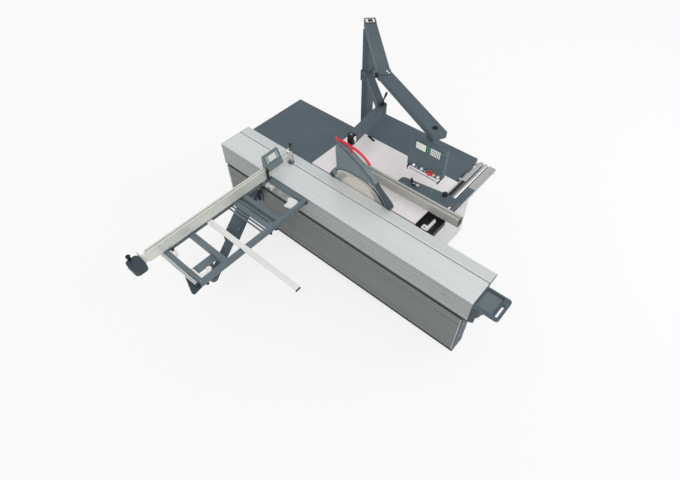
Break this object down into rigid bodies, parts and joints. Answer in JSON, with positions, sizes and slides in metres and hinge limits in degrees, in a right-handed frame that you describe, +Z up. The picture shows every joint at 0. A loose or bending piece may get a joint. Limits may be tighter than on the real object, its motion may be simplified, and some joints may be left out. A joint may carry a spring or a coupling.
{
  "type": "sliding table saw",
  "caption": "Sliding table saw with long sliding carriage, outrigger with crosscut fence, tilting saw unit, rip fence, overhead guard and swivelling control panel.",
  "frame": {"origin": "on the floor under the saw arbor, in the plane of the upright blade", "axes": "+X to the rip fence side, +Y along the feed to the rear, +Z up"},
  "size_m": [3.073, 3.226, 1.9585],
  "materials": {
    "pale_paint": "satin",
    "slate_paint": "satin",
    "bed_paint": "satin",
    "cast": "ground",
    "anodised": "satin",
    "steel": "ground",
    "chrome": "polished",
    "black_plastic": "matte",
    "belt_rubber": "matte",
    "white_plastic": "gloss",
    "white_paint": "satin",
    "red_plastic": "gloss",
    "clear_plastic": "clear"
  },
  "bodies": {
    "base": {"cabinet": "pale_paint", "levelling_feet": "black_plastic", "cast_table": "cast", "table_insert": "anodised", "stow_tray": "black_plastic", "push_stick": "white_plastic", "rear_extension_table": "slate_paint", "rip_extension_table": "slate_paint", "table_struts": "slate_paint", "rip_rail": "anodised", "rip_guide_bar": "chrome", "rip_rail_covers": "slate_paint", "bed_beam": "bed_paint", "bed_end_caps": "slate_paint", "bed_guide_rail": "steel", "tilt_brackets": "cast", "swing_pivot_bracket": "slate_paint", "column": "slate_paint", "dust_outlet": "black_plastic", "guard_boom": "slate_paint", "guard_arm": "slate_paint"},
    "door": {"cabinet_door": "pale_paint"},
    "tilt_unit": {"tilt_frame": "bed_paint"},
    "arbor_unit": {"arbor_housing": "cast", "motor": "slate_paint", "riving_knife": "steel", "drive_belt": "belt_rubber"},
    "blade": {"saw_blade": "steel", "spindle": "steel"},
    "rotor": {"motor_pulley": "steel"},
    "scorer": {"scoring_blade": "steel"},
    "cage": {"roller_cage": "chrome"},
    "sliding_carriage": {"carriage": "anodised", "carriage_end_caps": "slate_paint", "carriage_handle": "slate_paint", "outrigger_frame": "slate_paint", "outrigger_clamps": "white_paint", "frame_knobs": "black_plastic"},
    "roller": {"outrigger_roller": "chrome"},
    "support": {"support_bar": "white_paint"},
    "arm_outer": {"swing_arm_outer": "slate_paint"},
    "arm_inner": {"swing_arm_inner": "slate_paint"},
    "fence": {"crosscut_fence": "anodised", "fence_clamp": "slate_paint"},
    "fence_end": {"fence_extension": "anodised"},
    "clamp_knob": {"fence_clamp_knob": "black_plastic"},
    "clamp_lever": {"fence_clamp_lever": "black_plastic"},
    "stop": {"readout_stop": "slate_paint"},
    "flap": {"stop_flap": "black_plastic"},
    "rip_unit": {"rip_carrier": "slate_paint"},
    "rip_profile": {"rip_fence": "anodised"},
    "rip_handle": {"rip_lever": "black_plastic"},
    "guard": {"guard_hood": "slate_paint", "guard_window": "clear_plastic", "guard_handle": "red_plastic"},
    "side_flap": {"guard_flap": "clear_plastic"},
    "arm_upper": {"upper_arm": "slate_paint"},
    "arm_fore": {"forearm": "slate_paint"},
    "panel": {"control_panel": "slate_paint"},
    "stop_push": {"stop_button": "red_plastic"}
  },
  "joints": [
    {"name": "door_swing", "type": "hinge", "parent": "base", "child": "door", "pos_m": [0.967, 0.072, 0.43], "axis": [0, 0, 1], "range_deg": [0, 110]},
    {"name": "blade_tilt", "type": "hinge", "parent": "base", "child": "tilt_unit", "pos_m": [0, 0, 0.9], "axis": [0, 1, 0], "range_deg": [0, 45]},
    {"name": "blade_lift", "type": "slide", "parent": "tilt_unit", "child": "arbor_unit", "axis": [0, 0, 1], "range_m": [-0.15, 0]},
    {"name": "blade_spin", "type": "hinge", "parent": "arbor_unit", "child": "blade", "pos_m": [0, 0, 0.82], "axis": [1, 0, 0], "continuous": true},
    {"name": "motor_spin", "type": "hinge", "parent": "arbor_unit", "child": "rotor", "pos_m": [0.166, -0.04, 0.59], "axis": [1, 0, 0], "continuous": true},
    {"name": "scorer_spin", "type": "hinge", "parent": "tilt_unit", "child": "scorer", "pos_m": [0, -0.283, 0.852], "axis": [1, 0, 0], "continuous": true},
    {"name": "carriage_slide", "type": "slide", "parent": "base", "child": "sliding_carriage", "axis": [0, 1, 0], "range_m": [-1.05, 0.95]},
    {"name": "cage_slide", "type": "slide", "parent": "base", "child": "cage", "axis": [0, 1, 0], "range_m": [-0.525, 0.475]},
    {"name": "roller_spin", "type": "hinge", "parent": "sliding_carriage", "child": "roller", "pos_m": [-1.663, 0.5, 0.8835], "axis": [0, 1, 0], "continuous": true},
    {"name": "support_slide", "type": "slide", "parent": "sliding_carriage", "child": "support", "axis": [0, 1, 0], "range_m": [-0.2, 0.3]},
    {"name": "arm_swing", "type": "hinge", "parent": "base", "child": "arm_outer", "pos_m": [-0.492, 1, 0.61], "axis": [0, 0, 1], "range_deg": [-40, 44]},
    {"name": "arm_telescope", "type": "slide", "parent": "arm_outer", "child": "arm_inner", "axis": [-0.8681, -0.4964, 0], "range_m": [0, 0.4]},
    {"name": "fence_swing", "type": "hinge", "parent": "sliding_carriage", "child": "fence", "pos_m": [-0.13, 0.76, 0.95], "axis": [0, 0, 1], "range_deg": [-20, 45]},
    {"name": "fence_extend", "type": "slide", "parent": "fence", "child": "fence_end", "axis": [-1, 0, 0], "range_m": [0, 0.6]},
    {"name": "clamp_knob_turn", "type": "hinge", "parent": "fence", "child": "clamp_knob", "pos_m": [-0.082, 0.8, 1.05], "axis": [0, 0, 1], "range_deg": [-180, 180]},
    {"name": "clamp_lever_turn", "type": "hinge", "parent": "sliding_carriage", "child": "clamp_lever", "pos_m": [-0.545, 0.815, 0.817], "axis": [0, 1, 0], "range_deg": [-35, 35]},
    {"name": "stop_slide", "type": "slide", "parent": "fence", "child": "stop", "axis": [1, 0, 0], "range_m": [-1.1, 0.05]},
    {"name": "flap_lift", "type": "hinge", "parent": "stop", "child": "flap", "pos_m": [-0.445, 0.753, 1.0225], "axis": [-1, 0, 0], "range_deg": [0, 100]},
    {"name": "rip_slide", "type": "slide", "parent": "base", "child": "rip_unit", "axis": [1, 0, 0], "range_m": [-0.07, 0.6]},
    {"name": "rip_profile_slide", "type": "slide", "parent": "rip_unit", "child": "rip_profile", "axis": [0, 1, 0], "range_m": [-0.2, 0.2]},
    {"name": "rip_lever_turn", "type": "hinge", "parent": "rip_unit", "child": "rip_handle", "pos_m": [0.358, -0.382, 0.95], "axis": [0, 0, 1], "range_deg": [-30, 60]},
    {"name": "guard_lift", "type": "slide", "parent": "base", "child": "guard", "axis": [0, 0, 1], "range_m": [0, 0.12]},
    {"name": "side_flap_swing", "type": "hinge", "parent": "guard", "child": "side_flap", "pos_m": [0.0375, 0, 1.095], "axis": [0, -1, 0], "range_deg": [0, 56]},
    {"name": "upper_arm_turn", "type": "hinge", "parent": "base", "child": "arm_upper", "pos_m": [0.967, 0.679, 1.91], "axis": [0, 0, 1], "range_deg": [-60, 60]},
    {"name": "forearm_turn", "type": "hinge", "parent": "arm_upper", "child": "arm_fore", "pos_m": [0.36979, 0.05187, 1.91], "axis": [0, 0, 1], "range_deg": [-60, 60]},
    {"name": "panel_turn", "type": "hinge", "parent": "arm_fore", "child": "panel", "pos_m": [0.01636, -0.68251, 1.85], "axis": [0, 0, 1], "range_deg": [-60, 60]},
    {"name": "stop_press", "type": "slide", "parent": "panel", "child": "stop_push", "axis": [1, 0, 0], "range_m": [0, 0.005], "stiffness_N_per_m": 400}
  ],
  "couplings": [
    {"joint": "motor_spin", "follows": "blade_spin", "ratio": 0.66667},
    {"joint": "cage_slide", "follows": "carriage_slide", "ratio": 0.5},
    {"joint": "arm_swing", "follows": "carriage_slide", "rad_per_m": -0.72},
    {"joint": "side_flap_swing", "follows": "blade_tilt", "ratio": 1.2}
  ]
}
